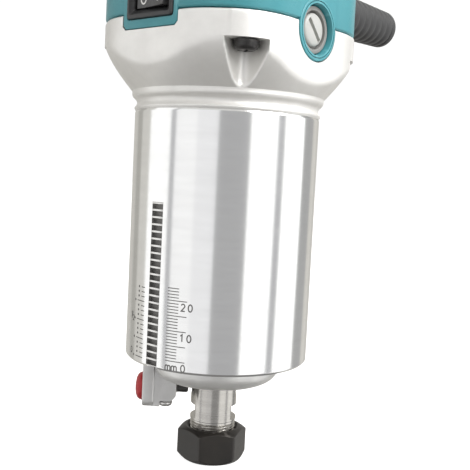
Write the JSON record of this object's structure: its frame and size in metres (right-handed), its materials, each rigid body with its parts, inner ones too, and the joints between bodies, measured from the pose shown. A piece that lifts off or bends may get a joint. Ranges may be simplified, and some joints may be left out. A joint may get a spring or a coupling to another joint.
{
  "type": "trim router",
  "caption": "Compact trim router motor unit: round machined barrel with height rack, cast bell, teal head with rocker switch, side brushes, spindle lock and collet nut.",
  "frame": {"origin": "on the tool axis, in the plane of the machined barrel's lower end", "axes": "+Z along the tool axis from the collet to the head, -Y towards the switch and the height rack, +Y along the cord guard"},
  "size_m": [0.0742, 0.1429, 0.2],
  "materials": {
    "cast_aluminium": "turned cylinder, as-cast bell",
    "teal_plastic": "satin moulded",
    "black_plastic": "satin moulded",
    "grey_plastic": "satin moulded",
    "red_plastic": "smooth moulded",
    "rubber": "matt",
    "bright_steel": "turned or ground",
    "black_steel": "black oxide",
    "core_steel": "stacked sheets",
    "copper": "varnished wire",
    "carbon": "matt"
  },
  "bodies": {
    "housing": {"barrel_housing": "cast_aluminium", "lock_block": "cast_aluminium", "head_housing": "teal_plastic", "top_cover": "teal_plastic", "switch_bezel": "black_plastic", "speed_controller": "black_plastic", "cord_clamp": "black_plastic", "air_baffle": "black_plastic", "bearing_bracket": "grey_plastic", "brush_holder_left": "grey_plastic", "brush_holder_right": "grey_plastic", "brush_cap_left": "grey_plastic", "brush_cap_right": "grey_plastic", "cord_guard": "rubber", "bearing_sleeve": "rubber", "cord_clamp_screw_1": "bright_steel", "cord_clamp_screw_2": "bright_steel", "lower_bearing_outer": "bright_steel", "upper_bearing_outer": "bright_steel", "bearing_retainer": "bright_steel", "retainer_screw_1": "bright_steel", "retainer_screw_2": "bright_steel", "bracket_screw_1": "bright_steel", "bracket_screw_2": "bright_steel", "brush_spring_left": "bright_steel", "brush_spring_right": "bright_steel", "lock_screw_1": "bright_steel", "lock_screw_2": "bright_steel", "lock_spring": "bright_steel", "height_rack": "bright_steel", "head_screw_1": "black_steel", "head_screw_2": "black_steel", "head_screw_3": "black_steel", "head_screw_4": "black_steel", "cover_screw_1": "black_steel", "cover_screw_2": "black_steel", "cover_screw_3": "black_steel", "cover_screw_4": "black_steel", "field_core": "core_steel", "field_coil_left": "copper", "field_coil_right": "copper"},
    "spindle": {"spindle": "bright_steel", "armature_core": "core_steel", "armature_winding_low": "copper", "armature_winding_high": "copper", "commutator": "copper", "cooling_fan": "grey_plastic", "lower_bearing_inner": "bright_steel", "upper_bearing_inner": "bright_steel"},
    "lower_balls": {"lower_bearing_balls": "bright_steel"},
    "upper_balls": {"upper_bearing_balls": "bright_steel"},
    "collet": {"collet": "bright_steel"},
    "nut": {"collet_nut": "black_steel"},
    "lock": {"lock_button": "red_plastic", "lock_pin": "black_steel"},
    "rocker": {"switch_rocker": "black_plastic"},
    "dial": {"speed_dial": "black_plastic"},
    "brush_left": {"carbon_brush_left": "carbon"},
    "brush_right": {"carbon_brush_right": "carbon"}
  },
  "joints": [
    {"name": "spindle_spin", "type": "hinge", "parent": "housing", "child": "spindle", "pos_m": [0, 0, 0], "axis": [0, 0, 1], "continuous": true},
    {"name": "lower_balls_orbit", "type": "hinge", "parent": "housing", "child": "lower_balls", "pos_m": [0, 0, 0.0061], "axis": [0, 0, 1], "continuous": true},
    {"name": "upper_balls_orbit", "type": "hinge", "parent": "housing", "child": "upper_balls", "pos_m": [0, 0, 0.13065], "axis": [0, 0, 1], "continuous": true},
    {"name": "nut_turn", "type": "hinge", "parent": "collet", "child": "nut", "pos_m": [0, 0, -0.031], "axis": [0, 0, -1], "range_deg": [0, 360]},
    {"name": "collet_release", "type": "slide", "parent": "spindle", "child": "collet", "axis": [0, 0, -1], "range_m": [0, 0.0015]},
    {"name": "lock_press", "type": "slide", "parent": "housing", "child": "lock", "axis": [0.7547, 0.6561, 0], "range_m": [0, 0.0026], "stiffness_N_per_m": 500, "springref_m": -0.003, "deforming": ["lock_spring"]},
    {"name": "switch_rock", "type": "hinge", "parent": "housing", "child": "rocker", "pos_m": [0, -0.0363, 0.12075], "axis": [0, 0, 1], "range_deg": [0, 9]},
    {"name": "dial_turn", "type": "hinge", "parent": "housing", "child": "dial", "pos_m": [-0.014, -0.006, 0.151], "axis": [0, 1, 0], "range_deg": [0, 300]},
    {"name": "brush_slide_left", "type": "slide", "parent": "housing", "child": "brush_left", "axis": [-1, 0, 0], "range_m": [0, 0.004], "stiffness_N_per_m": 250, "springref_m": -0.006, "deforming": ["brush_spring_left"]},
    {"name": "brush_slide_right", "type": "slide", "parent": "housing", "child": "brush_right", "axis": [1, 0, 0], "range_m": [0, 0.004], "stiffness_N_per_m": 250, "springref_m": -0.006, "deforming": ["brush_spring_right"]}
  ],
  "couplings": [
    {"joint": "lower_balls_orbit", "follows": "spindle_spin", "ratio": 0.39},
    {"joint": "upper_balls_orbit", "follows": "spindle_spin", "ratio": 0.387},
    {"joint": "nut_turn", "follows": "collet_release", "rad_per_m": 4188.8}
  ]
}
